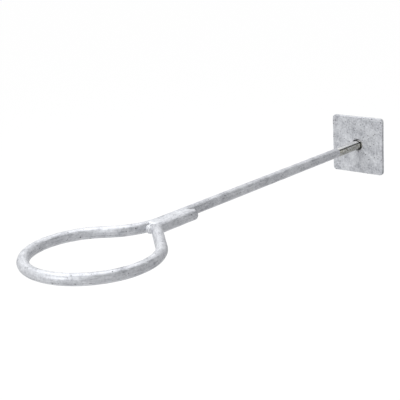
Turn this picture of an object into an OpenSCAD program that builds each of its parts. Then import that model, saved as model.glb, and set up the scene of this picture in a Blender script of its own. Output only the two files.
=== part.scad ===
// Long galvanised eye bolt with a square backing plate.
// The shank lies along X with the plate's front face at x = 0 and the eye at -X.
// The eye lies flat in the XY plane, and its lapped tail is on the -Y side of the shank.

/* [Bar] */
// Diameter of the round bar
rod_d = 12; // [10:0.5:16]
// How much the bar's radius draws down in its bends
bend_thinning = 0.1; // [0.05:0.01:0.2]
// Distance from the plate's front face to the eye's centre
eye_reach = 484; // [380:1:700]

/* [Eye] */
// Clear diameter inside the eye
eye_inside_d = 120; // [100:1:150]
// How far the eye's centre lies off the shank's axis, on the tail's side
eye_offset = 11; // [4:0.5:18]
// Centreline radius of the gentle bend between shank and eye
far_bend_r = 62; // [50:1:80]
// Straight length between the gentle bend and the eye
far_straight = 4; // [3:0.5:8]
// Angle between the straight leg and the shank
leg_angle = 48; // [40:1:56]
// Centreline radius of the tight bend between leg and tail
near_bend_r = 15; // [12:0.5:20]

/* [Lap] */
// Straight length of the tail that lies along the shank
lap_length = 52; // [36:1:80]
// Root gap between tail and shank
lap_gap = 0.2; // [0.1:0.05:0.6]
// Rounding of the tail's sawn end
tail_round = 2; // [1:0.25:3]

/* [Welds] */
// Radius of the bead in the lap's groove
bead_r = 5; // [4:0.25:5.5]
// Height of the bead's centre off the plane of the eye
bead_lift = 0.4; // [0:0.1:1]
// Height of the bead's root off the plane of the eye
bead_root = 1.5; // [1:0.1:2.5]
// How far each bead stops short of the tail's end
bead_setback = 3; // [1:0.5:8]
// Radius of the plug of weld in the crotch
crotch_r = 4.5; // [3.5:0.25:5.5]
// Height of the plug of weld in the crotch
crotch_h = 9.5; // [8:0.25:11]
// Rounding of the plug's two ends
crotch_round = 2.5; // [1:0.25:3]
// Distance of the crotch weld from the end of the tight bend
crotch_back = 9; // [7:0.5:12]

/* [Turned end] */
// Length of bare turned bar in front of the plate
bright_length = 47; // [20:1:100]
// Diameter of the turned bar and of the thread over its crests
bright_d = 11.8; // [9:0.1:12]
// Length of bar that stands out behind the nut
end_length = 8; // [7.5:0.5:30]
// Chamfer on the bar's threaded end
end_chamfer = 1.5; // [0.5:0.25:2.5]

/* [Plate] */
// Side of the square plate
plate_side = 75; // [50:1:120]
// Thickness of the plate
plate_t = 5; // [3:0.5:12]
// Radial clearance of the plate's hole on the turned bar
plate_clear = 1.6; // [0.5:0.1:3]
// Rounding of the plate's corners
plate_corner = 4; // [1:0.5:12]

/* [Washer] */
// Outside diameter of the washer
washer_d = 24; // [20:0.5:40]
// Thickness of the washer
washer_t = 2.5; // [1.5:0.5:5]
// Radial clearance of the washer's hole on the thread
washer_clear = 0.6; // [0.3:0.1:1]

/* [Nut] */
// Width across the nut's flats
nut_af = 19; // [17:0.5:27]
// Height of the nut
nut_h = 10; // [8:0.5:16]
// Radial running clearance of the nut's bore on the thread's crests
nut_clear = 0.05; // [0.02:0.01:0.1]
// Angle of the chamfer on the nut's corners
nut_chamfer_angle = 30; // [20:1:40]
// Countersink at each end of the nut's bore
nut_sink = 0.8; // [0.3:0.1:1.5]
// Diameter of the flat on the nut's ends, as a share of the width across flats
nut_face_share = 0.95; // [0.9:0.01:0.98]

/* [Hidden] */
$fn = 96;

zinc = "#c8cacc";
weld_zinc = "#d2d3d4";
plate_zinc = "#c4c7ca";
nut_zinc = "#b9bbbd";

rod_r = rod_d / 2;
bright_r = bright_d / 2;

// Eye circle, in the XY plane
eye_r = eye_inside_d / 2 + rod_r;
eye_x = -eye_reach;
eye_y = -eye_offset;

// The gentle bend touches the shank's axis, and a short straight joins it to the eye circle
far_sum = eye_r + far_bend_r;
far_x = eye_x + sqrt(pow(far_sum, 2) + pow(far_straight, 2) - pow(far_bend_r - eye_y, 2));
far_turn = atan2(far_bend_r - eye_y, far_x - eye_x) + atan(far_straight / far_sum);
far_x0 = eye_x + eye_r * cos(far_turn);
far_y0 = eye_y + eye_r * sin(far_turn);

// The leg leaves the eye circle at a tangent and rises to the tail's line
leg_start = 270 + leg_angle;
leg_x0 = eye_x + eye_r * cos(leg_start);
leg_y0 = eye_y + eye_r * sin(leg_start);
tail_y = -(rod_d + lap_gap);
corner_run = near_bend_r * tan(leg_angle / 2);
leg_length = (tail_y - leg_y0) / sin(leg_angle) - corner_run;
near_x = leg_x0 + (tail_y - leg_y0) / tan(leg_angle) + corner_run;

// How far a stretch of the bar runs over or into the next one
overlap = rod_d / 30;

// How far each cutting tool runs past the face it opens through
cut_over = 1;

// Stack on the threaded end
washer_x = plate_t;
nut_x = washer_x + washer_t;
end_x = nut_x + nut_h + end_length;

// A straight length of bar along +X from x
module bar(x, length, r) {
    translate([x, 0, 0]) rotate([0, 90, 0]) cylinder(r = r, h = length);
}

// A bend of the bar about [x, y], with centreline radius r, over turn degrees from start
module bend(x, y, r, start, turn) {
    translate([x, y, 0]) rotate([0, 0, start])
        rotate_extrude(angle = turn) translate([r, 0]) circle(r = rod_r - bend_thinning);
}

// A straight stretch of the bar from [x, y], running over the bends at its two ends
module straight(x, y, angle, length) {
    translate([x, y, 0]) rotate([0, 0, angle]) bar(-overlap, length + 2 * overlap, rod_r);
}

// A round bar along +X, with its far edge rounded by end_r and its near edge by start_r
module rounded_bar(length, r, start_r, end_r) {
    rotate([0, 90, 0]) rotate_extrude() {
        translate([0, start_r]) square([r, length - start_r - end_r]);
        if (start_r > 0) translate([0, start_r]) mirror([0, 1]) rounded_cap(r, start_r);
        translate([0, length - end_r]) rounded_cap(r, end_r);
    }
}

// Half the outline of a bar's end, with its edge rounded
module rounded_cap(r, edge_r) {
    if (r > edge_r) square([r - edge_r, edge_r]);
    translate([r - edge_r, 0]) intersection() {
        circle(r = edge_r);
        square(edge_r);
    }
}

// The galvanised part of the bar: shank, gentle bend, eye, leg, tight bend and tail
module bent_bar() {
    bar(far_x - overlap, -bright_length - far_x + overlap, rod_r);
    bend(far_x, far_bend_r, far_bend_r, 180 + far_turn, 90 - far_turn);
    straight(far_x0, far_y0, far_turn - 90, far_straight);
    bend(eye_x, eye_y, eye_r, far_turn, leg_start - far_turn);
    straight(leg_x0, leg_y0, leg_angle, leg_length);
    bend(near_x, tail_y - near_bend_r, near_bend_r, 90, leg_angle);
    translate([near_x - overlap, tail_y, 0]) rounded_bar(lap_length + overlap, rod_r, 0, tail_round);
}

// The turned and threaded end, with its chamfer
module turned_end() {
    start_x = -bright_length - overlap;
    bar(start_x, end_x - end_chamfer - start_x, bright_r);
    translate([end_x - end_chamfer, 0, 0]) rotate([0, 90, 0])
        cylinder(r1 = bright_r, r2 = bright_r - end_chamfer, h = end_chamfer);
}

// A round-ended bead in the groove above the lap, cut to the two bars it joins
module lap_bead() {
    bead_y = tail_y / 2;
    bead_length = lap_length - bead_setback + bead_r;
    difference() {
        intersection() {
            translate([near_x - bead_r, bead_y, bead_lift])
                rounded_bar(bead_length, bead_r, bead_r, bead_r);
            translate([near_x - rod_d, tail_y, bead_root])
                cube([lap_length + rod_d, rod_d, rod_d]);
        }
        bent_bar();
    }
}

module eye_rod() {
    color(zinc) union() {
        bent_bar();
        turned_end();
    }
}

module lap_weld_top() {
    color(weld_zinc) lap_bead();
}

module lap_weld_bottom() {
    color(weld_zinc) mirror([0, 0, 1]) lap_bead();
}

module crotch_weld() {
    color(weld_zinc) difference() {
        translate([near_x - crotch_back, tail_y / 2, crotch_h / 2]) rotate([0, 90, 0])
            rounded_bar(crotch_h, crotch_r, crotch_round, crotch_round);
        bent_bar();
    }
}

module plate() {
    half = plate_side / 2;
    inner = half - plate_corner;
    color(plate_zinc) difference() {
        rotate([90, 0, 90]) linear_extrude(plate_t) union() {
            square([plate_side, 2 * inner], center = true);
            square([2 * inner, plate_side], center = true);
            for (y = [-inner, inner], z = [-inner, inner])
                translate([y, z]) circle(r = plate_corner);
        }
        bar(-cut_over, plate_t + 2 * cut_over, bright_r + plate_clear);
    }
}

module washer() {
    color(nut_zinc) difference() {
        bar(washer_x, washer_t, washer_d / 2);
        bar(washer_x - cut_over, washer_t + 2 * cut_over, bright_r + washer_clear);
    }
}

module nut() {
    bore_r = bright_r + nut_clear;
    corner_r = nut_af / 2 / cos(30);
    face_r = nut_af / 2 * nut_face_share;
    chamfer_h = (corner_r - face_r) * tan(nut_chamfer_angle);
    color(nut_zinc) translate([nut_x, 0, 0]) rotate([0, 90, 0]) difference() {
        intersection() {
            cylinder(r = corner_r, h = nut_h, $fn = 6);
            union() {
                cylinder(r1 = face_r, r2 = corner_r, h = chamfer_h);
                translate([0, 0, chamfer_h]) cylinder(r = corner_r, h = nut_h - 2 * chamfer_h);
                translate([0, 0, nut_h - chamfer_h])
                    cylinder(r1 = corner_r, r2 = face_r, h = chamfer_h);
            }
        }
        translate([0, 0, -cut_over]) cylinder(r = bore_r, h = nut_h + 2 * cut_over);
        cylinder(r1 = bore_r + nut_sink, r2 = bore_r, h = nut_sink);
        translate([0, 0, nut_h - nut_sink]) cylinder(r1 = bore_r, r2 = bore_r + nut_sink, h = nut_sink);
    }
}

eye_rod();
lap_weld_top();
lap_weld_bottom();
crotch_weld();
plate();
washer();
nut();
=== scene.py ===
"""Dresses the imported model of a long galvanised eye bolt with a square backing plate."""

import math

import bmesh
import bpy
from bpy.props import (
    FloatProperty,
    FloatVectorProperty,
    IntProperty,
    PointerProperty,
    StringProperty,
)
from bpy.types import Operator, Panel, PropertyGroup
from mathutils import Matrix, Vector, noise


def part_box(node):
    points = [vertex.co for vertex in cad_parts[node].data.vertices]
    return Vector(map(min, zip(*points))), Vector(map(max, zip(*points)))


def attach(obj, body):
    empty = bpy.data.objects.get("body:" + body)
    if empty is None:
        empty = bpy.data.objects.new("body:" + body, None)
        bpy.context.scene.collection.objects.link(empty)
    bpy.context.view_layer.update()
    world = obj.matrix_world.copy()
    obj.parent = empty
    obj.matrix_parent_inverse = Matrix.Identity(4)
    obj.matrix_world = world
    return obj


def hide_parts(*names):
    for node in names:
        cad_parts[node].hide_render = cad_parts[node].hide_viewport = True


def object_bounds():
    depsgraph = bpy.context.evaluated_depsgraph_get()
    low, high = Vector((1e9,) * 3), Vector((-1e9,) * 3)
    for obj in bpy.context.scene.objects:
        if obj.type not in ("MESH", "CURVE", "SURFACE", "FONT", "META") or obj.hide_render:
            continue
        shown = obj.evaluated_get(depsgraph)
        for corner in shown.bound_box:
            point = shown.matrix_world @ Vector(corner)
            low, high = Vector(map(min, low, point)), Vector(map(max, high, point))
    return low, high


bl_info = {
    "name": "Galvanised eye bolt",
    "version": (1, 0, 0),
    "blender": (4, 5, 0),
    "location": "3D View > Sidebar > Eye Bolt",
    "description": "Dresses the packed model of a long eye bolt and its backing plate",
    "category": "Object",
}

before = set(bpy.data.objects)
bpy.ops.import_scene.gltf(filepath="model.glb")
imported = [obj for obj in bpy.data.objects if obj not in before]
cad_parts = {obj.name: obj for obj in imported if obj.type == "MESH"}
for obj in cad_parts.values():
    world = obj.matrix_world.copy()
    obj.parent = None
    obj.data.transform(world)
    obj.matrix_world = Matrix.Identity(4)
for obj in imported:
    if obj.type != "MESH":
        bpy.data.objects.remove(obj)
CAD_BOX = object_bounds()

MM = 0.001
BAR_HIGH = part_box("eye_rod")[1]
PLATE_LOW, PLATE_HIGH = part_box("plate")
WASHER_LOW, WASHER_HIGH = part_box("washer")
NUT_LOW, NUT_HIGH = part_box("nut")

# The bar's flow coordinates: distance along it, then the point on its round section
FLOW = "bar_flow"

# How far the coat's edge rolls in over the turned bar
COAT_LIP = 0.35 * MM
# Chamfer on the bar's threaded end
END_CHAMFER = 1.5 * MM
# Broken edge at both ends of the plate's hole
HOLE_EASE = 0.3 * MM
# Nut: running clearance on the thread, countersink, and its end flat as a share of the flats
NUT_CLEAR = 0.05 * MM
NUT_SINK = 0.8 * MM
NUT_FACE_SHARE = 0.95
# Thread form: the flat and the flank, as shares of half a pitch
THREAD_FLAT = 0.125
THREAD_FLANK = 0.75
# Lap bead: how far it runs past the bend and stops short of the tail's end, how far it climbs on
# shank and tail, how deep it reaches, and the lengths of its swells and ripples
BEAD_LEAD = 7 * MM
BEAD_STOP = 1.5 * MM
BEAD_ON_SHANK = 1.5 * MM
BEAD_ON_TAIL = 1.8 * MM
BEAD_DEPTH = 2.2 * MM
BEAD_SWELL = 3.0 * MM
BEAD_RIPPLE = 2.6 * MM
# Crotch weld: its half sizes in mm, and how far it lies behind the tight bend's end
PLUG_HALF_MM = (5.0, 4.8, 4.9)
PLUG_BACK = 9.5 * MM
# Light: the world's level on the object, the floor's glow to the camera and how much of it shows
SOFT_LIGHT = 0.45
FLOOR_GLOW = 1.06
FLOOR_SEEN = 0.9


# ---------------------------------------------------------------- settings

class EYEBOLT_PG_bar(PropertyGroup):
    """Sizes of the bent bar."""

    radius: FloatProperty(name="Bar radius", description="Radius of the round bar over its zinc",
                          default=BAR_HIGH.z, unit="LENGTH")
    reach: FloatProperty(name="Reach", description="Plate's front face to the eye's centre",
                         default=0.484, unit="LENGTH")
    eye_inside: FloatProperty(name="Eye inside", description="Clear diameter inside the eye",
                              default=0.120, unit="LENGTH")
    eye_offset: FloatProperty(name="Eye offset", description="Eye's centre off the shank's axis",
                              default=0.011, unit="LENGTH")
    far_bend: FloatProperty(name="Gentle bend", description="Radius of the bend from shank to eye",
                            default=0.062, unit="LENGTH")
    far_straight: FloatProperty(name="Straight", description="Straight between gentle bend and eye",
                                default=0.004, unit="LENGTH")
    leg_angle: FloatProperty(name="Leg angle", description="Angle of the straight leg to the shank",
                             default=math.radians(48), subtype="ANGLE")
    near_bend: FloatProperty(name="Tight bend", description="Radius of the bend from leg to tail",
                             default=0.015, unit="LENGTH")
    lap: FloatProperty(name="Lap length", description="Straight length of the tail on the shank",
                       default=0.052, unit="LENGTH")
    lap_gap: FloatProperty(name="Lap gap", description="Gap between tail and shank at the root",
                           default=0.0002, unit="LENGTH")
    tail_round: FloatProperty(name="Tail rounding", description="Rounding of the tail's sawn end",
                              default=0.002, unit="LENGTH")
    bright: FloatProperty(name="Bright length", description="Bare turned bar in front of the plate",
                          default=0.047, unit="LENGTH")
    bright_radius: FloatProperty(name="Bright radius", description="Radius of the turned bar",
                                 default=0.0059, unit="LENGTH")
    sides: IntProperty(name="Sides", description="Faces round the bar", default=56)
    step: FloatProperty(name="Ring step", description="Distance between rings of faces",
                        default=0.00062, unit="LENGTH")


class EYEBOLT_PG_fittings(PropertyGroup):
    """Sizes of the thread, nut, washer and plate."""

    pitch: FloatProperty(name="Thread pitch", description="Pitch of the thread",
                         default=0.00175, unit="LENGTH")
    thread_depth: FloatProperty(name="Thread depth", description="Crest to root of the thread",
                                default=0.00107, unit="LENGTH")
    thread_start: FloatProperty(name="Thread start", description="Where the thread runs out",
                                default=0.0003, unit="LENGTH")
    edge_round: FloatProperty(name="Plate edge", description="Rounding of the plate's zinc edges",
                              default=0.0007, unit="LENGTH")
    hole_gap: FloatProperty(name="Hole gap", description="Clearance round the bar in the plate",
                            default=0.0016, unit="LENGTH")
    corner: FloatProperty(name="Plate corner", description="Rounding of the plate's corners",
                          default=0.004, unit="LENGTH")
    washer_gap: FloatProperty(name="Washer gap", description="Clearance of the washer's hole",
                              default=0.0006, unit="LENGTH")


class EYEBOLT_PG_zinc(PropertyGroup):
    """Colours of the coats and the bare steel, as sRGB hex values."""

    pale: StringProperty(name="Pale zinc", description="Brightest zinc", default="d9dbdf")
    grey: StringProperty(name="Grey zinc", description="Body colour of the coat", default="bcbec3")
    dull: StringProperty(name="Dull zinc", description="Greyer clouds in the coat", default="8e9097")
    dross: StringProperty(name="Dross", description="Dark specks and seams", default="3c3d42")
    steel: StringProperty(name="Turned steel", description="Bare turned bar", default="e6e5e2")
    # The next two colours are painted reflections on the bare steel: a brown-green tint on its underside
    # and a painted dark band above it
    low_reflection_tint: StringProperty(name="Cutting oil", description="Brown-green film on the bare steel",
                        default="918f7e")
    dark_reflection_band: StringProperty(name="Dried oil", description="Dark edge of the oil film",
                             default="4c4b47")
    relief: FloatProperty(name="Relief", description="Height of the waves in the zinc",
                          default=0.00016, unit="LENGTH")


class EYEBOLT_PG_stage(PropertyGroup):
    """Floor, lights and camera."""

    floor_drop: FloatProperty(name="Floor drop", description="Floor below the bar's axis",
                              default=0.30, unit="LENGTH")
    camera_place: FloatVectorProperty(name="Camera", description="Where the camera stands",
                                      default=(-1.0667, -0.6787, 0.3078), subtype="TRANSLATION")
    camera_yaw: FloatProperty(name="Yaw", description="Camera's heading from +X",
                              default=0.734, subtype="ANGLE")
    camera_pitch: FloatProperty(name="Pitch", description="Camera's tilt", default=-0.2882,
                                subtype="ANGLE")
    camera_roll: FloatProperty(name="Roll", description="Camera's roll", default=-0.0637,
                               subtype="ANGLE")
    lens: FloatProperty(name="Lens", description="Focal length in mm", default=87.86)
    key_power: FloatProperty(name="Key", description="Power of the overhead lamp in watts",
                             default=11.0)


# ---------------------------------------------------------------- helpers

def linear(hex_colour):
    """An sRGB hex colour as linear RGBA."""
    channels = [int(hex_colour[i:i + 2], 16) / 255 for i in (0, 2, 4)]
    return [c / 12.92 if c <= 0.04045 else ((c + 0.055) / 1.055) ** 2.4 for c in channels] + [1.0]


def add(tree, kind, inputs=None, **settings):
    """Adds a node: settings are its own properties, inputs are values or other nodes' outputs.
    A colour ramp also takes stops, a list of (position, hex colour)."""
    node = tree.nodes.new(kind)
    for i, (position, colour) in enumerate(settings.pop("stops", [])):
        elements = node.color_ramp.elements
        element = elements[i] if i < 2 else elements.new(1.0)
        element.position = position
        element.color = linear(colour)
    for name, value in settings.items():
        setattr(node, name, value)
    for key, value in (inputs or {}).items():
        socket = node.inputs[key]
        if isinstance(value, bpy.types.NodeSocket):
            tree.links.new(value, socket)
        else:
            socket.default_value = value
    return node


def link_object(name, mesh):
    """A new object at the origin with this mesh."""
    piece = bpy.data.objects.new(name, mesh)
    bpy.context.scene.collection.objects.link(piece)
    return piece


def smooth(mesh, angle=None):
    """Shades a mesh smooth, with edges sharper than angle kept sharp."""
    mesh.shade_smooth()
    if angle is not None:
        mesh.set_sharp_from_angle(angle=angle)


def grid_mesh(name, rows, closed_rows=False, closed_columns=True):
    """A mesh from rows of points; each row is a ring of points where closed_columns is true."""
    vertices = [point for row in rows for point in row]
    width = len(rows[0])
    faces = []
    for r in range(len(rows) if closed_rows else len(rows) - 1):
        following = (r + 1) % len(rows)
        for c in range(width if closed_columns else width - 1):
            beside = (c + 1) % width
            faces.append((r * width + c, r * width + beside,
                          following * width + beside, following * width + c))
    mesh = bpy.data.meshes.new(name)
    mesh.from_pydata(vertices, [], faces)
    return mesh


def face_outwards(mesh):
    """Merges doubles and turns every face outwards."""
    shape = bmesh.new()
    shape.from_mesh(mesh)
    bmesh.ops.remove_doubles(shape, verts=shape.verts, dist=1e-7)
    bmesh.ops.recalc_face_normals(shape, faces=shape.faces)
    shape.to_mesh(mesh)
    shape.free()
    mesh.update()


def keep_in_box(mesh):
    """Presses any point that stands out of the model's box back to its surface."""
    low, high = Vector(CAD_BOX[0]), Vector(CAD_BOX[1])
    for vertex in mesh.vertices:
        for axis in range(3):
            vertex.co[axis] = min(max(vertex.co[axis], low[axis]), high[axis])
    mesh.update()


def thread_height(cut, x, angle):
    """Height of the thread at a point, from 0 at its root to 1 at its crest."""
    phase = ((x - cut.thread_start) / cut.pitch - angle / (2 * math.pi)) % 1.0
    return min(max((abs(phase - 0.5) * 2 - THREAD_FLAT) / THREAD_FLANK, 0.0), 1.0)


def finish_piece(piece, body, nodes=()):
    """Seats a finished piece on its body and hides the nodes it stands for."""
    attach(piece, body)
    if nodes:
        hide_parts(*nodes)


def bake_nodes(piece, tree, values):
    """Runs a Geometry Nodes tree on a piece and leaves its result as a plain mesh."""
    modifier = piece.modifiers.new(tree.name, "NODES")
    modifier.node_group = tree
    sockets = {item.name: item.identifier for item in tree.interface.items_tree
               if item.item_type == "SOCKET" and item.in_out == "INPUT"}
    for name, value in values.items():
        modifier[sockets[name]] = value
    depsgraph = bpy.context.evaluated_depsgraph_get()
    mesh = bpy.data.meshes.new_from_object(piece.evaluated_get(depsgraph), depsgraph=depsgraph)
    piece.modifiers.remove(modifier)
    old = piece.data
    piece.data = mesh
    mesh.name = piece.name
    if old.users == 0:
        bpy.data.meshes.remove(old)
    if not mesh.polygons:
        raise RuntimeError(f"{piece.name} came out empty")
    return mesh


def new_tree(name, inputs):
    """A Geometry Nodes tree with named inputs, and its group input and output nodes."""
    tree = bpy.data.node_groups.new(name, "GeometryNodeTree")
    tree.interface.new_socket("Geometry", in_out="OUTPUT", socket_type="NodeSocketGeometry")
    tree.interface.new_socket("Geometry", in_out="INPUT", socket_type="NodeSocketGeometry")
    for label, kind, default in inputs:
        socket = tree.interface.new_socket(label, in_out="INPUT", socket_type=kind)
        if default is not None:
            socket.default_value = default
    return tree, tree.nodes.new("NodeGroupInput"), tree.nodes.new("NodeGroupOutput")


# ---------------------------------------------------------------- the bar's path

class Route:
    """The bar's centreline, with its distance along and what a point on it needs to be placed."""

    def __init__(self, sizes):
        radius = sizes.radius
        self.radius = radius
        self.eye_r = sizes.eye_inside / 2 + radius
        self.eye = Vector((-sizes.reach, -sizes.eye_offset, 0))
        far_sum = self.eye_r + sizes.far_bend
        rise = sizes.far_bend + sizes.eye_offset
        self.far_x = self.eye.x + math.sqrt(far_sum ** 2 + sizes.far_straight ** 2 - rise ** 2)
        self.far_turn = (math.atan2(rise, self.far_x - self.eye.x)
                         + math.atan(sizes.far_straight / far_sum))
        self.tail_y = -(2 * radius + sizes.lap_gap)
        leg_start = math.radians(270) + sizes.leg_angle
        leg = self.eye + self.eye_r * Vector((math.cos(leg_start), math.sin(leg_start), 0))
        corner_run = sizes.near_bend * math.tan(sizes.leg_angle / 2)
        self.leg_length = (self.tail_y - leg.y) / math.sin(sizes.leg_angle) - corner_run
        self.near_x = leg.x + (self.tail_y - leg.y) / math.tan(sizes.leg_angle) + corner_run
        self.near_centre = Vector((self.near_x, self.tail_y - sizes.near_bend, 0))
        self.tail_end = self.near_x + sizes.lap
        self.leg_start = leg_start
        self.sizes = sizes

    def arc(self, centre, radius, start, end, step):
        count = max(3, round(abs(end - start) * radius / step))
        return [centre + radius * Vector((math.cos(a), math.sin(a), 0))
                for a in (start + (end - start) * i / count for i in range(1, count + 1))]

    def line(self, start, end, step):
        count = max(2, round((end - start).length / step))
        return [start.lerp(end, i / count) for i in range(1, count + 1)]

    def points(self, step):
        """Points from the coat's edge in front of the plate, round the eye, to the tail's end."""
        sizes = self.sizes
        points = [Vector((-sizes.bright, 0, 0))]
        points += self.line(points[-1], Vector((self.far_x, 0, 0)), step)
        centre = Vector((self.far_x, sizes.far_bend, 0))
        points += self.arc(centre, sizes.far_bend, math.radians(270),
                           math.radians(180) + self.far_turn, step)
        away = self.eye + self.eye_r * Vector((math.cos(self.far_turn), math.sin(self.far_turn), 0))
        points += self.line(points[-1], away, step)
        points += self.arc(self.eye, self.eye_r, self.far_turn, self.leg_start, step)
        heading = Vector((math.cos(sizes.leg_angle), math.sin(sizes.leg_angle), 0))
        points += self.line(points[-1], points[-1] + heading * self.leg_length, step)
        points += self.arc(self.near_centre, sizes.near_bend,
                           math.radians(90) + sizes.leg_angle, math.radians(90), step)
        body_end = Vector((self.tail_end - sizes.tail_round, self.tail_y, 0))
        points += self.line(points[-1], body_end, step)
        return points


def bar_path_mesh(route, step):
    """The centreline as an edge mesh, with each ring's scale and distance along as attributes."""
    points = route.points(step)
    scales = [1.0] * len(points)
    rounding, radius = route.sizes.tail_round, route.radius
    # The sawn end is ground round: the last rings draw in along a quarter circle
    rings = 7
    end = points[-1]
    for i in range(1, rings + 1):
        turn = math.radians(90) * i / rings
        points.append(end + Vector((rounding * math.sin(turn), 0, 0)))
        scales.append((radius - rounding + rounding * math.cos(turn)) / radius)
    # The coat's edge rolls in over the turned bar
    lip = 4
    for i in range(lip):
        turn = math.radians(90) * i / lip
        scales[i] = 1.0 - (1.0 - math.sin(turn)) * COAT_LIP / radius
    along = [0.0]
    for before, after in zip(points, points[1:]):
        along.append(along[-1] + (after - before).length)
    mesh = bpy.data.meshes.new("bar_path")
    mesh.from_pydata(points, [(i, i + 1) for i in range(len(points) - 1)], [])
    mesh.attributes.new("ring_scale", "FLOAT", "POINT").data.foreach_set("value", scales)
    mesh.attributes.new("along", "FLOAT", "POINT").data.foreach_set("value", along)
    return mesh


def swept_bar_tree():
    """Geometry Nodes: a round section swept along the path, with waves and specks of zinc."""
    tree, start, end = new_tree("Zinc coated bar", [
        ("Bar Radius", "NodeSocketFloat", 0.006),
        ("Sides", "NodeSocketInt", 48),
        ("Wave Height", "NodeSocketFloat", 0.0001),
        ("Wave Length", "NodeSocketFloat", 0.009),
        ("Grain Height", "NodeSocketFloat", 0.00006),
        ("Grain Size", "NodeSocketFloat", 0.0022),
        ("Material", "NodeSocketMaterial", None),
    ])
    given = start.outputs
    curve = add(tree, "GeometryNodeMeshToCurve", {0: given["Geometry"]}).outputs[0]
    curve = add(tree, "GeometryNodeSetCurveNormal", {0: curve}, mode="Z_UP").outputs[0]
    profile = add(tree, "GeometryNodeCurvePrimitiveCircle",
                  {"Resolution": given["Sides"], "Radius": 1.0}, mode="RADIUS").outputs[0]
    section = add(tree, "GeometryNodeInputPosition").outputs[0]
    profile = add(tree, "GeometryNodeStoreNamedAttribute",
                  {0: profile, "Name": "section", "Value": section},
                  data_type="FLOAT_VECTOR").outputs[0]
    scale = add(tree, "GeometryNodeInputNamedAttribute", {"Name": "ring_scale"}).outputs[0]
    scale = add(tree, "ShaderNodeMath", {0: scale, 1: given["Bar Radius"]},
                operation="MULTIPLY").outputs[0]
    swept = add(tree, "GeometryNodeCurveToMesh",
                {"Curve": curve, "Profile Curve": profile, "Scale": scale, "Fill Caps": True}).outputs[0]
    # Waves where the zinc ran, and the finer grain of its skin
    place = add(tree, "GeometryNodeInputPosition").outputs[0]
    wave_scale = add(tree, "ShaderNodeMath", {0: 1.0, 1: given["Wave Length"]},
                     operation="DIVIDE").outputs[0]
    wave = add(tree, "ShaderNodeTexNoise", {"Vector": place, "Scale": wave_scale, "Detail": 1.0,
                                            "Roughness": 0.5}).outputs[0]
    grain_scale = add(tree, "ShaderNodeMath", {0: 1.0, 1: given["Grain Size"]},
                      operation="DIVIDE").outputs[0]
    grain = add(tree, "ShaderNodeTexNoise", {"Vector": place, "Scale": grain_scale, "Detail": 2.0,
                                             "Roughness": 0.6}).outputs[0]
    height = add(tree, "ShaderNodeMath", {
        0: add(tree, "ShaderNodeMath", {0: wave, 1: 0.62}, operation="SUBTRACT").outputs[0],
        1: given["Wave Height"],
    }, operation="MULTIPLY").outputs[0]
    grain_height = add(tree, "ShaderNodeMath", {
        0: add(tree, "ShaderNodeMath", {0: grain, 1: 0.6}, operation="SUBTRACT").outputs[0],
        1: given["Grain Height"],
    }, operation="MULTIPLY").outputs[0]
    height = add(tree, "ShaderNodeMath", {
        0: add(tree, "ShaderNodeMath", {0: height, 1: 2.0}, operation="MULTIPLY").outputs[0],
        1: add(tree, "ShaderNodeMath", {0: grain_height, 1: 2.0}, operation="MULTIPLY").outputs[0],
    }, operation="ADD").outputs[0]
    normal = add(tree, "GeometryNodeInputNormal").outputs[0]
    offset = add(tree, "ShaderNodeVectorMath", {0: normal, "Scale": height},
                 operation="SCALE").outputs[0]
    moved = add(tree, "GeometryNodeSetPosition", {"Geometry": swept, "Offset": offset}).outputs[0]
    # Flow coordinates for the streaks in the coat
    around = add(tree, "GeometryNodeInputNamedAttribute", {"Name": "section"},
                 data_type="FLOAT_VECTOR").outputs[0]
    parts = add(tree, "ShaderNodeSeparateXYZ", {0: around}).outputs
    along = add(tree, "GeometryNodeInputNamedAttribute", {"Name": "along"}).outputs[0]
    across = add(tree, "ShaderNodeMath", {0: parts[0], 1: given["Bar Radius"]},
                 operation="MULTIPLY").outputs[0]
    upward = add(tree, "ShaderNodeMath", {0: parts[1], 1: given["Bar Radius"]},
                 operation="MULTIPLY").outputs[0]
    flow = add(tree, "ShaderNodeCombineXYZ", {0: along, 1: across, 2: upward}).outputs[0]
    stored = add(tree, "GeometryNodeStoreNamedAttribute", {0: moved, "Name": FLOW, "Value": flow},
                 data_type="FLOAT_VECTOR").outputs[0]
    real = add(tree, "GeometryNodeRealizeInstances", {0: stored}).outputs[0]
    painted = add(tree, "GeometryNodeSetMaterial",
                  {"Geometry": real, "Material": given["Material"]}).outputs[0]
    tree.links.new(painted, end.inputs[0])
    return tree


# ---------------------------------------------------------------- materials

def begin_material(name):
    """A new node material, its tree and its Principled shader."""
    material = bpy.data.materials.new(name)
    material.use_nodes = True
    tree = material.node_tree
    return material, tree, tree.nodes["Principled BSDF"]


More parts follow.
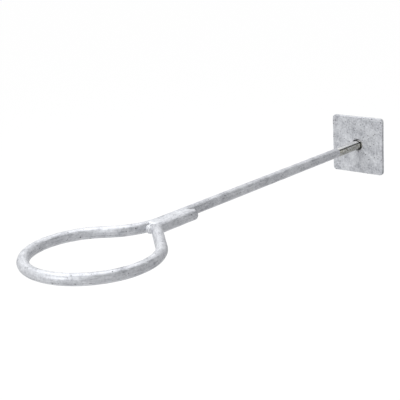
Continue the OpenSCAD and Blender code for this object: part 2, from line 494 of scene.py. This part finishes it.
def hot_dip_zinc(name, look, flow=False, cloud_mm=13.0, lift=0.0):
    """Hot-dip galvanising on rolled bar: a matt grey skin with pale and dull clouds, fine lengthwise
    scale where it follows the bar, and dark specks of dross."""
    material, tree, shader = begin_material(name)
    place = add(tree, "ShaderNodeTexCoord").outputs["Object"]
    millimetres = add(tree, "ShaderNodeVectorMath", {0: place, "Scale": 1000.0},
                      operation="SCALE").outputs[0]
    clouds = add(tree, "ShaderNodeTexNoise", {"Vector": millimetres, "Scale": 1 / cloud_mm, "Detail": 4.0,
                                              "Roughness": 0.6}).outputs[0]
    mottle = add(tree, "ShaderNodeTexNoise", {"Vector": millimetres, "Scale": 1 / 2.6, "Detail": 5.0,
                                              "Roughness": 0.65}).outputs[0]
    tone = add(tree, "ShaderNodeMath", {
        0: add(tree, "ShaderNodeMath", {0: clouds, 1: 0.45}, operation="MULTIPLY").outputs[0],
        1: add(tree, "ShaderNodeMath", {0: mottle, 1: 0.55}, operation="MULTIPLY").outputs[0],
    }, operation="ADD").outputs[0]
    if flow:
        # Lengthwise scale: 14 mm long, 1.6 mm wide
        along = add(tree, "ShaderNodeAttribute", attribute_name=FLOW).outputs["Vector"]
        stretched = add(tree, "ShaderNodeVectorMath", {0: along, 1: (1000 / 14, 1000 / 1.6, 1000 / 1.6)},
                        operation="MULTIPLY").outputs[0]
        scale = add(tree, "ShaderNodeTexNoise", {"Vector": stretched, "Scale": 1.0, "Detail": 3.0,
                                                 "Roughness": 0.6}).outputs[0]
        tone = add(tree, "ShaderNodeMath", {
            0: add(tree, "ShaderNodeMath", {0: tone, 1: 0.75}, operation="MULTIPLY").outputs[0],
            1: add(tree, "ShaderNodeMath", {0: scale, 1: 0.25}, operation="MULTIPLY").outputs[0],
        }, operation="ADD").outputs[0]
    tone = add(tree, "ShaderNodeMath", {0: tone, 1: lift}, operation="ADD").outputs[0]
    body = add(tree, "ShaderNodeValToRGB", {0: tone},
               stops=[(0.36, look.dull), (0.47, look.grey), (0.62, look.pale)]).outputs[0]
    # Dross specks, under 2 mm across, in a third of cells 3 mm wide
    cells = add(tree, "ShaderNodeTexVoronoi",
                {"Vector": millimetres, "Scale": 1 / 3.0, "Randomness": 1.0})
    chosen = add(tree, "ShaderNodeSeparateXYZ", {0: cells.outputs["Color"]}).outputs
    size = add(tree, "ShaderNodeMath", {0: chosen[0], 1: 0.9, 2: -0.62},
               operation="MULTIPLY_ADD").outputs[0]
    marks = add(tree, "ShaderNodeMath", {
        0: add(tree, "ShaderNodeMath", {0: cells.outputs["Distance"], 1: size},
               operation="LESS_THAN").outputs[0],
        1: 0.7,
    }, operation="MULTIPLY").outputs[0]
    if flow:
        # A broken dark line along each flank, 2.2 mm above the bar's middle
        height = add(tree, "ShaderNodeSeparateXYZ", {0: along}).outputs[2]
        off = add(tree, "ShaderNodeMath", {
            0: add(tree, "ShaderNodeMath", {0: height, 1: 0.0022}, operation="SUBTRACT").outputs[0],
        }, operation="ABSOLUTE").outputs[0]
        line = add(tree, "ShaderNodeMapRange", {"Value": off, "From Min": 0.0001, "From Max": 0.0009,
                                                "To Min": 1.0, "To Max": 0.0}).outputs[0]
        broken = add(tree, "ShaderNodeMapRange", {"Value": mottle, "From Min": 0.5, "From Max": 0.6,
                                                  "To Min": 0.0, "To Max": 0.6}).outputs[0]
        marks = add(tree, "ShaderNodeMath", {
            0: marks,
            1: add(tree, "ShaderNodeMath", {0: line, 1: broken}, operation="MULTIPLY").outputs[0],
        }, operation="MAXIMUM").outputs[0]
    colour = add(tree, "ShaderNodeMix", {"Factor": marks, "A": body,
                                         "B": linear(look.dross)}, data_type="RGBA").outputs["Result"]
    tree.links.new(colour, shader.inputs["Base Color"])
    shader.inputs["Metallic"].default_value = 0.45
    rough = add(tree, "ShaderNodeMapRange", {"Value": mottle, "From Min": 0.3, "From Max": 0.7,
                                             "To Min": 0.36, "To Max": 0.6}).outputs[0]
    tree.links.new(rough, shader.inputs["Roughness"])
    fine = add(tree, "ShaderNodeTexNoise", {"Vector": millimetres, "Scale": 1 / 0.9, "Detail": 3.0,
                                            "Roughness": 0.6}).outputs[0]
    relief = add(tree, "ShaderNodeMath", {
        0: add(tree, "ShaderNodeMath", {0: mottle, 1: 0.7}, operation="MULTIPLY").outputs[0],
        1: add(tree, "ShaderNodeMath", {0: fine, 1: 0.3}, operation="MULTIPLY").outputs[0],
    }, operation="ADD").outputs[0]
    bump = add(tree, "ShaderNodeBump", {"Strength": 0.55, "Distance": 0.00035, "Height": relief})
    tree.links.new(bump.outputs[0], shader.inputs["Normal"])
    return material


def turned_steel(look):
    """Bare steel turned on a lathe: bright, with fine rings round the bar, a painted brown-green
    reflection on its underside and a painted dark reflection band.
    """
    material, tree, shader = begin_material("turned_steel")
    place = add(tree, "ShaderNodeTexCoord").outputs["Object"]
    millimetres = add(tree, "ShaderNodeVectorMath", {0: place, "Scale": 1000.0},
                      operation="SCALE").outputs[0]
    patches = add(tree, "ShaderNodeTexNoise", {"Vector": millimetres, "Scale": 1 / 3.0, "Detail": 5.0,
                                            "Roughness": 0.7}).outputs[0]
    # Painted reflection: a patchy brown-green tint darkens the underside, and a painted dark band runs
    # round the bar from 2.9 to 4.3 mm up, where bright steel would mirror darker surroundings
    height = add(tree, "ShaderNodeSeparateXYZ", {0: millimetres}).outputs[2]
    height = add(tree, "ShaderNodeMath", {
        0: height,
        1: add(tree, "ShaderNodeMath", {0: patches, 1: 0.8}, operation="MULTIPLY").outputs[0],
    }, operation="ADD").outputs[0]
    low_reflection_mask = add(tree, "ShaderNodeMapRange", {"Value": height, "From Min": 3.0, "From Max": 3.6,
                                           "To Min": 1.0, "To Max": 0.0}).outputs[0]
    off = add(tree, "ShaderNodeMath", {
        0: add(tree, "ShaderNodeMath", {0: height, 1: 4.0}, operation="SUBTRACT").outputs[0],
    }, operation="ABSOLUTE").outputs[0]
    line = add(tree, "ShaderNodeMapRange", {"Value": off, "From Min": 0.35, "From Max": 0.95,
                                            "To Min": 1.0, "To Max": 0.0}).outputs[0]
    tinted_reflection = add(tree, "ShaderNodeValToRGB", {0: patches},
               stops=[(0.38, look.low_reflection_tint), (0.66, look.steel)]).outputs[0]
    body = add(tree, "ShaderNodeMix", {"Factor": low_reflection_mask, "A": linear(look.steel), "B": tinted_reflection},
               data_type="RGBA").outputs["Result"]
    body = add(tree, "ShaderNodeMix", {"Factor": line, "A": body, "B": linear(look.dark_reflection_band)},
               data_type="RGBA").outputs["Result"]
    tree.links.new(body, shader.inputs["Base Color"])
    shader.inputs["Metallic"].default_value = 1.0
    rough = add(tree, "ShaderNodeMapRange", {"Value": patches, "From Min": 0.35, "From Max": 0.7,
                                             "To Min": 0.08, "To Max": 0.22}).outputs[0]
    tree.links.new(rough, shader.inputs["Roughness"])
    # Feed marks of the tool, drawn at 0.7 mm so that they show
    rings = add(tree, "ShaderNodeTexWave", {"Vector": millimetres, "Scale": 0.45, "Distortion": 0.6,
                                            "Detail": 2.0, "Detail Scale": 1.0},
                wave_type="BANDS", bands_direction="X").outputs["Fac"]
    bump = add(tree, "ShaderNodeBump", {"Strength": 0.25, "Distance": 0.00005, "Height": rings})
    tree.links.new(bump.outputs[0], shader.inputs["Normal"])
    shader.inputs["Anisotropic"].default_value = 0.6
    tangent = add(tree, "ShaderNodeTangent", direction_type="RADIAL", axis="X").outputs[0]
    tree.links.new(tangent, shader.inputs["Tangent"])
    return material


# ---------------------------------------------------------------- operators

class EYEBOLT_OT_bar(Operator):
    """Sweep the galvanised bar round its bends"""

    bl_idname = "eyebolt.bar"
    bl_label = "Galvanised Bar"

    def execute(self, context):
        sizes, look = context.scene.eyebolt_bar, context.scene.eyebolt_zinc
        route = Route(sizes)
        piece = link_object("galvanised_bar", bar_path_mesh(route, sizes.step))
        material = hot_dip_zinc("hot_dip_zinc_bar", look, flow=True)
        mesh = bake_nodes(piece, swept_bar_tree(), {
            "Bar Radius": sizes.radius, "Sides": sizes.sides, "Wave Height": look.relief,
            "Wave Length": 0.009, "Grain Height": look.relief * 0.5, "Grain Size": 0.0022,
            "Material": material})
        face_outwards(mesh)
        keep_in_box(mesh)
        smooth(mesh)
        finish_piece(piece, "eye_rod", ["eye_rod"])
        return {"FINISHED"}


class EYEBOLT_OT_turned_end(Operator):
    """Turn the bare end and cut its thread"""

    bl_idname = "eyebolt.turned_end"
    bl_label = "Turned and Threaded End"

    def execute(self, context):
        bar, cut = context.scene.eyebolt_bar, context.scene.eyebolt_fittings
        look = context.scene.eyebolt_zinc
        end_x = BAR_HIGH.x
        sides, per_pitch = 64, 14

        def radius_at(x, angle):
            crest = min(bar.bright_radius, bar.bright_radius - END_CHAMFER + end_x - x)
            depth = cut.thread_depth * (1.0 - thread_height(cut, x, angle))
            fade = min(max((x - cut.thread_start) / cut.pitch, 0.0), 1.0)
            return max(min(crest, bar.bright_radius - depth * fade), 0.001)

        start = -bar.bright - 2 * MM
        stations = [start + i * 1.0 * MM for i in range(round((cut.thread_start - start) / MM))]
        step = cut.pitch / per_pitch
        count = int((end_x - cut.thread_start) / step)
        stations += [cut.thread_start + i * step for i in range(count)] + [end_x]
        rows = []
        for x in stations:
            row = []
            for s in range(sides):
                angle = 2 * math.pi * s / sides
                r = radius_at(x, angle)
                row.append((x, r * math.cos(angle), r * math.sin(angle)))
            rows.append(row)
        rows.insert(0, [(stations[0], 0.0, 0.0)] * sides)
        rows.append([(end_x, 0.0, 0.0)] * sides)
        mesh = grid_mesh("turned_end", rows)
        face_outwards(mesh)
        smooth(mesh, math.radians(35))
        piece = link_object("turned_threaded_end", mesh)
        mesh.materials.append(turned_steel(look))
        finish_piece(piece, "eye_rod")
        return {"FINISHED"}


class EYEBOLT_OT_welds(Operator):
    """Lay the weld beads of the lap and the plug in the crotch"""

    bl_idname = "eyebolt.welds"
    bl_label = "Welds"

    def execute(self, context):
        look = context.scene.eyebolt_zinc
        route = Route(context.scene.eyebolt_bar)
        material = hot_dip_zinc("hot_dip_zinc_weld", look, cloud_mm=8.0, lift=0.04)
        for side, name in ((1, "lap_weld_top"), (-1, "lap_weld_bottom")):
            mesh = self.bead(route, side)
            mesh.materials.append(material)
            piece = link_object(name + "_bead", mesh)
            finish_piece(piece, "eye_rod", [name])
        mesh = self.plug(route)
        mesh.materials.append(material)
        piece = link_object("crotch_weld_plug", mesh)
        finish_piece(piece, "eye_rod", ["crotch_weld"])
        return {"FINISHED"}

    def bead(self, route, side):
        """A wide bead that fills the groove nearly flush, with ripples across it."""
        radius, tail_y = route.radius, route.tail_y
        start, end = route.near_x - BEAD_LEAD, route.tail_end - BEAD_STOP
        columns, rows_count = 36, 150
        rows = []
        for i in range(rows_count + 1):
            x = start + (end - start) * i / rows_count
            near_end = min((x - start) / (4 * MM), (end - x) / (3 * MM), 1.0)
            taper = math.sqrt(max(1 - (1 - near_end) ** 2, 0.0))
            top, under = [], []
            for c in range(columns + 1):
                share = c / columns
                y = BEAD_ON_SHANK + (tail_y - BEAD_ON_SHANK - BEAD_ON_TAIL) * share
                if y > 0:
                    base = math.sqrt(radius ** 2 - y ** 2)
                elif y < tail_y:
                    base = math.sqrt(radius ** 2 - (y - tail_y) ** 2)
                else:
                    base = radius - 0.45 * MM * math.sin(math.pi * y / tail_y) ** 2
                ripple = noise.noise(Vector((x, y, side * 9 * MM)) / BEAD_SWELL)
                crest = math.sin(2 * math.pi * (x + 0.12 * abs(y - tail_y / 2)) / BEAD_RIPPLE)
                edge = math.sin(math.pi * share)
                lift = (0.10 * edge + 0.09 * ripple * edge + 0.04 * crest * edge - 0.22) * MM
                z = (base + lift) * (0.72 + 0.28 * taper)
                top.append((x, y, side * z))
                under.append((x, y, side * BEAD_DEPTH))
            rows.append(top + under[::-1])
        width = len(rows[0])
        middle = Vector((0, tail_y / 2, side * 3 * MM))
        rows.insert(0, [(start, middle.y, middle.z)] * width)
        rows.append([(end, middle.y, middle.z)] * width)
        mesh = grid_mesh("bead", rows)
        face_outwards(mesh)
        smooth(mesh, math.radians(60))
        return mesh

    def plug(self, route):
        """A knobbly lump of weld that fills the crotch."""
        shape = bmesh.new()
        bmesh.ops.create_icosphere(shape, subdivisions=5, radius=1.0)
        centre = Vector((route.near_x - PLUG_BACK, route.tail_y / 2, 0))
        for vertex in shape.verts:
            unit = vertex.co.copy()
            lump = 1 + 0.10 * noise.noise(unit * 2.1) + 0.05 * noise.noise(unit * 6.0)
            vertex.co = centre + Vector([u * half for u, half in zip(unit, PLUG_HALF_MM)]) * lump * MM
        mesh = bpy.data.meshes.new("plug")
        shape.to_mesh(mesh)
        shape.free()
        face_outwards(mesh)
        smooth(mesh)
        return mesh


class EYEBOLT_OT_plate(Operator):
    """Cut the square backing plate, with its hole and dipped edges"""

    bl_idname = "eyebolt.plate"
    bl_label = "Backing Plate"

    def execute(self, context):
        bar, cut = context.scene.eyebolt_bar, context.scene.eyebolt_fittings
        look = context.scene.eyebolt_zinc
        half = PLATE_HIGH.y
        thickness = PLATE_HIGH.x - PLATE_LOW.x
        hole = bar.bright_radius + cut.hole_gap
        turns, spokes = 200, 46

        def outline(angle):
            """Distance from the centre to the plate's edge, with rounded corners."""
            c, s = abs(math.cos(angle)), abs(math.sin(angle))
            inner = half - cut.corner
            straight = half / max(c, s)
            if min(c, s) * straight <= inner:
                return straight
            b = inner * (c + s)
            return b + math.sqrt(max(b * b - 2 * inner * inner + cut.corner ** 2, 0.0))

        def sheet_height(y, z):
            wave = noise.noise(Vector((y, z, 0.3)) / (11 * MM)) * 0.10
            grain = noise.noise(Vector((y, z, 7.3)) / (2.4 * MM)) * 0.05
            return (wave + grain - 0.14) * MM

        edge = cut.edge_round
        rows = []
        for t in range(turns):
            angle = 2 * math.pi * t / turns
            reach = outline(angle)
            ragged = 0.18 * MM * noise.noise(Vector((math.cos(angle), math.sin(angle), 0.0)) * 7)
            reach += min(ragged - 0.12 * MM, 0.0)
            section = []
            for i in range(spokes + 1):
                r = hole + HOLE_EASE + (reach - edge - hole - HOLE_EASE) * (i / spokes)
                section.append((r, 0.0))
            section += [(reach - edge + edge * math.sin(a), edge - edge * math.cos(a))
                        for a in (math.radians(18 * k) for k in range(1, 6))]
            section += [(reach, thickness * k / 5) for k in range(1, 5)]
            section += [(reach - edge + edge * math.cos(a), thickness - edge + edge * math.sin(a))
                        for a in (math.radians(18 * k) for k in range(0, 6))]
            for i in range(1, spokes + 1):
                r = reach - edge - (reach - edge - hole - HOLE_EASE) * (i / spokes)
                section.append((r, thickness))
            section += [(hole, thickness - HOLE_EASE), (hole, thickness / 2), (hole, HOLE_EASE)]
            row = []
            for r, depth in section:
                y, z = r * math.cos(angle), r * math.sin(angle)
                x = PLATE_LOW.x + depth
                away = sheet_height(y, z if depth < thickness / 2 else z + 1.0)
                x += -away if depth < thickness / 2 else away
                row.append((x, y, z))
            rows.append(row)
        mesh = grid_mesh("plate", rows, closed_rows=True, closed_columns=True)
        face_outwards(mesh)
        keep_in_box(mesh)
        smooth(mesh, math.radians(50))
        piece = link_object("backing_plate", mesh)
        mesh.materials.append(hot_dip_zinc("hot_dip_zinc_plate", look, cloud_mm=12.0))
        finish_piece(piece, "plate", ["plate"])
        return {"FINISHED"}


class EYEBOLT_OT_fasteners(Operator):
    """Make the hex nut with its thread, and the plain washer"""

    bl_idname = "eyebolt.fasteners"
    bl_label = "Nut and Washer"

    def execute(self, context):
        bar, cut = context.scene.eyebolt_bar, context.scene.eyebolt_fittings
        material = hot_dip_zinc("hot_dip_zinc_fasteners", context.scene.eyebolt_zinc, cloud_mm=7.0)
        mesh = self.nut(bar, cut)
        mesh.materials.append(material)
        piece = link_object("hex_nut", mesh)
        finish_piece(piece, "nut", ["nut"])
        mesh = self.washer(bar, cut)
        mesh.materials.append(material)
        piece = link_object("plain_washer", mesh)
        finish_piece(piece, "washer", ["washer"])
        return {"FINISHED"}

    def nut(self, bar, cut):
        """A hex nut, chamfered at both ends, with a thread in its bore."""
        low, high = NUT_LOW.x, NUT_HIGH.x
        height = high - low
        flat = NUT_HIGH.y
        corner = NUT_HIGH.z
        face = flat * NUT_FACE_SHARE
        crest = bar.bright_radius + NUT_CLEAR
        minor = bar.bright_radius - cut.thread_depth + NUT_CLEAR
        slope = math.tan(math.radians(30))
        turns = 180
        outer_steps = [0, 0.15, 0.3, 0.5, 0.7, 0.9, 1.1, 1.4]
        stations = [v * MM for v in outer_steps]
        stations += [height * k / 8 for k in range(2, 7)]
        stations += [height - v * MM for v in reversed(outer_steps)]
        bore_count = 90
        rows = []
        for t in range(turns):
            angle = 2 * math.pi * t / turns
            # Flats face +Y and -Y; distance to the flat at this angle
            turn = (angle + math.radians(30)) % math.radians(60) - math.radians(30)
            hexagon = flat / math.cos(turn)
            row = []
            for station in stations:
                ends = min(station, height - station)
                r = min(hexagon, face + ends / slope, corner) - 0.04 * MM
                row.append((station, r))
            for k in range(bore_count + 1):
                station = height * (1 - k / bore_count)
                x = low + station
                tooth = thread_height(cut, x, angle)
                ends = min(station, height - station)
                sink = crest + NUT_SINK - ends
                r = max(minor + (crest - minor) * tooth + NUT_CLEAR, sink)
                row.append((station, r))
            rows.append([(low + s, r * math.cos(angle), r * math.sin(angle)) for s, r in row])
        mesh = grid_mesh("nut", rows, closed_rows=True, closed_columns=True)
        face_outwards(mesh)
        smooth(mesh, math.radians(28))
        return mesh

    def washer(self, bar, cut):
        """A punched washer: a rolled edge on one side and a slight burr on the other."""
        low, high = WASHER_LOW.x, WASHER_HIGH.x
        outer = WASHER_HIGH.y
        inner = bar.bright_radius + cut.washer_gap
        thickness = high - low
        turns = 128
        rows = []
        for t in range(turns):
            angle = 2 * math.pi * t / turns
            wobble = 0.05 * MM * noise.noise(Vector((math.cos(angle), math.sin(angle), 2.0)) * 4)
            section = [(inner + 0.25 * MM, 0), (outer - 0.4 * MM, 0), (outer - 0.12 * MM, 0.12 * MM),
                       (outer - 0.06 * MM, 0.4 * MM), (outer - 0.06 * MM, thickness - 0.5 * MM),
                       (outer - 0.18 * MM, thickness - 0.2 * MM), (outer - 0.55 * MM, thickness)]
            section += [(outer - (outer - inner) * k / 8, thickness) for k in range(2, 7)]
            section += [(inner + 0.3 * MM, thickness), (inner, thickness - 0.3 * MM),
                        (inner, 0.25 * MM)]
            rows.append([(low + d, (r + wobble - 0.03 * MM) * math.cos(angle),
                          (r + wobble - 0.03 * MM) * math.sin(angle)) for r, d in section])
        mesh = grid_mesh("washer", rows, closed_rows=True, closed_columns=True)
        face_outwards(mesh)
        smooth(mesh, math.radians(40))
        return mesh


class EYEBOLT_OT_stage(Operator):
    """Lay the floor, hang the lamps and set the camera"""

    bl_idname = "eyebolt.stage"
    bl_label = "Stage"

    def execute(self, context):
        scene, stage = context.scene, context.scene.eyebolt_stage
        middle = (Vector(CAD_BOX[0]) + Vector(CAD_BOX[1])) / 2
        self.floor(stage)
        self.world(scene)
        self.lamp("overhead_lamp", middle + Vector((0.0, 0.35, 1.1)), middle, 1.2, stage.key_power)
        self.lamp("eye_side_lamp", middle + Vector((-1.6, 0.1, 0.7)), middle, 0.8,
                  stage.key_power * 0.9)
        self.flag(middle)
        self.camera(scene, stage)
        scene.view_settings.view_transform = "Standard"
        return {"FINISHED"}

    def floor(self, stage):
        """A wide pale floor: white to the camera, with the object's soft shadow kept."""
        half = 30.0
        mesh = bpy.data.meshes.new("floor")
        z = -stage.floor_drop
        mesh.from_pydata([(-half, -half, z), (half, -half, z), (half, half, z), (-half, half, z)],
                         [], [(0, 1, 2, 3)])
        floor = link_object("floor", mesh)
        material, tree, shader = begin_material("pale_floor_paint")
        shader.inputs["Base Color"].default_value = linear("f2f2f2")
        shader.inputs["Roughness"].default_value = 0.9
        shader.inputs["Specular IOR Level"].default_value = 0.0
        rays = add(tree, "ShaderNodeLightPath").outputs
        seen = add(tree, "ShaderNodeMath", {0: rays["Is Camera Ray"], 1: rays["Is Transmission Ray"]},
                   operation="MAXIMUM").outputs[0]
        seen = add(tree, "ShaderNodeMath", {0: seen, 1: FLOOR_SEEN}, operation="MULTIPLY").outputs[0]
        glow = add(tree, "ShaderNodeEmission",
                   {"Color": (1, 1, 1, 1), "Strength": FLOOR_GLOW}).outputs[0]
        mixed = add(tree, "ShaderNodeMixShader", {0: seen, 1: shader.outputs[0], 2: glow}).outputs[0]
        tree.links.new(mixed, tree.nodes["Material Output"].inputs["Surface"])
        mesh.materials.append(material)

    def flag(self, middle):
        """A dark card beside the object, which only gloss shows, for the dark band on turned steel."""
        low, high = math.radians(32), math.radians(72)
        inner = [(-math.cos(a), math.sin(a)) for a in (low, high)]
        mesh = bpy.data.meshes.new("flag")
        mesh.from_pydata([(x, middle.y + 1.5 * y, 1.5 * z) for x in (-1.5, 2.5) for y, z in inner],
                         [], [(0, 1, 3, 2)])
        flag = link_object("flag", mesh)
        for kind in ("camera", "diffuse", "shadow", "transmission"):
            setattr(flag, "visible_" + kind, False)
        material, _, shader = begin_material("black_card")
        shader.inputs["Base Color"].default_value = linear("202022")
        shader.inputs["Roughness"].default_value = 0.9
        mesh.materials.append(material)

    def world(self, scene):
        """White surroundings for the eye, and a plain soft level of light for the object."""
        world = bpy.data.worlds.new("studio")
        world.use_nodes = True
        scene.world = world
        tree = world.node_tree
        rays = add(tree, "ShaderNodeLightPath").outputs
        seen = add(tree, "ShaderNodeMath", {0: rays["Is Camera Ray"], 1: rays["Is Transmission Ray"]},
                   operation="MAXIMUM").outputs[0]
        seen = add(tree, "ShaderNodeMath", {0: seen, 1: rays["Is Glossy Ray"]},
                   operation="MAXIMUM").outputs[0]
        soft = tree.nodes["Background"]
        soft.inputs["Color"].default_value = (1, 1, 1, 1)
        soft.inputs["Strength"].default_value = SOFT_LIGHT
        white = add(tree, "ShaderNodeBackground", {"Color": (1, 1, 1, 1), "Strength": 1.0}).outputs[0]
        mixed = add(tree, "ShaderNodeMixShader", {0: seen, 1: soft.outputs[0], 2: white}).outputs[0]
        tree.links.new(mixed, tree.nodes["World Output"].inputs["Surface"])

    def lamp(self, name, place, target, size, power):
        """A square soft lamp that faces a point."""
        data = bpy.data.lights.new(name, "AREA")
        data.shape = "SQUARE"
        data.size = size
        data.energy = power
        lamp = bpy.data.objects.new(name, data)
        lamp.location = place
        lamp.rotation_euler = (target - place).to_track_quat("-Z", "Y").to_euler()
        bpy.context.scene.collection.objects.link(lamp)

    def camera(self, scene, stage):
        """The camera, turned by its yaw, pitch and roll."""
        data = bpy.data.cameras.new("camera")
        data.lens = stage.lens
        data.sensor_width = 36.0
        data.clip_end = 100.0
        camera = bpy.data.objects.new("camera", data)
        yaw, pitch, roll = stage.camera_yaw, stage.camera_pitch, stage.camera_roll
        ahead = Vector((math.cos(pitch) * math.cos(yaw), math.cos(pitch) * math.sin(yaw),
                        math.sin(pitch)))
        right = ahead.cross(Vector((0, 0, 1))).normalized()
        above = right.cross(ahead)
        side = right * math.cos(roll) + above * math.sin(roll)
        top = above * math.cos(roll) - right * math.sin(roll)
        turned = Matrix((side, top, -ahead)).transposed().to_4x4()
        camera.matrix_world = Matrix.Translation(Vector(stage.camera_place)) @ turned
        scene.collection.objects.link(camera)
        scene.camera = camera


class EYEBOLT_PT_panel(Panel):
    """Lists the eye bolt's operators and sizes."""

    bl_idname = "EYEBOLT_PT_panel"
    bl_label = "Eye Bolt"
    bl_space_type = "VIEW_3D"
    bl_region_type = "UI"
    bl_category = "Eye Bolt"

    def draw(self, context):
        layout = self.layout
        for operator in OPERATORS:
            layout.operator(operator.bl_idname)
        for group in ("eyebolt_bar", "eyebolt_fittings", "eyebolt_zinc", "eyebolt_stage"):
            settings = getattr(context.scene, group)
            box = layout.box()
            for name in settings.__annotations__:
                box.prop(settings, name)


OPERATORS = (
    EYEBOLT_OT_bar,
    EYEBOLT_OT_turned_end,
    EYEBOLT_OT_welds,
    EYEBOLT_OT_plate,
    EYEBOLT_OT_fasteners,
    EYEBOLT_OT_stage,
)
GROUPS = {
    "eyebolt_bar": EYEBOLT_PG_bar,
    "eyebolt_fittings": EYEBOLT_PG_fittings,
    "eyebolt_zinc": EYEBOLT_PG_zinc,
    "eyebolt_stage": EYEBOLT_PG_stage,
}


def register():
    """Registers the classes and hangs the settings on the scene."""
    for item in (*GROUPS.values(), *OPERATORS, EYEBOLT_PT_panel):
        bpy.utils.register_class(item)
    for name, group in GROUPS.items():
        setattr(bpy.types.Scene, name, PointerProperty(type=group))


def unregister():
    """Takes the settings and classes away again."""
    for name in GROUPS:
        delattr(bpy.types.Scene, name)
    for item in (EYEBOLT_PT_panel, *reversed(OPERATORS), *reversed(tuple(GROUPS.values()))):
        bpy.utils.unregister_class(item)


def main():
    """Makes every piece in order."""
    register()
    bpy.ops.eyebolt.bar()
    bpy.ops.eyebolt.turned_end()
    bpy.ops.eyebolt.welds()
    bpy.ops.eyebolt.plate()
    bpy.ops.eyebolt.fasteners()
    bpy.ops.eyebolt.stage()


if __name__ == "__main__":
    main()
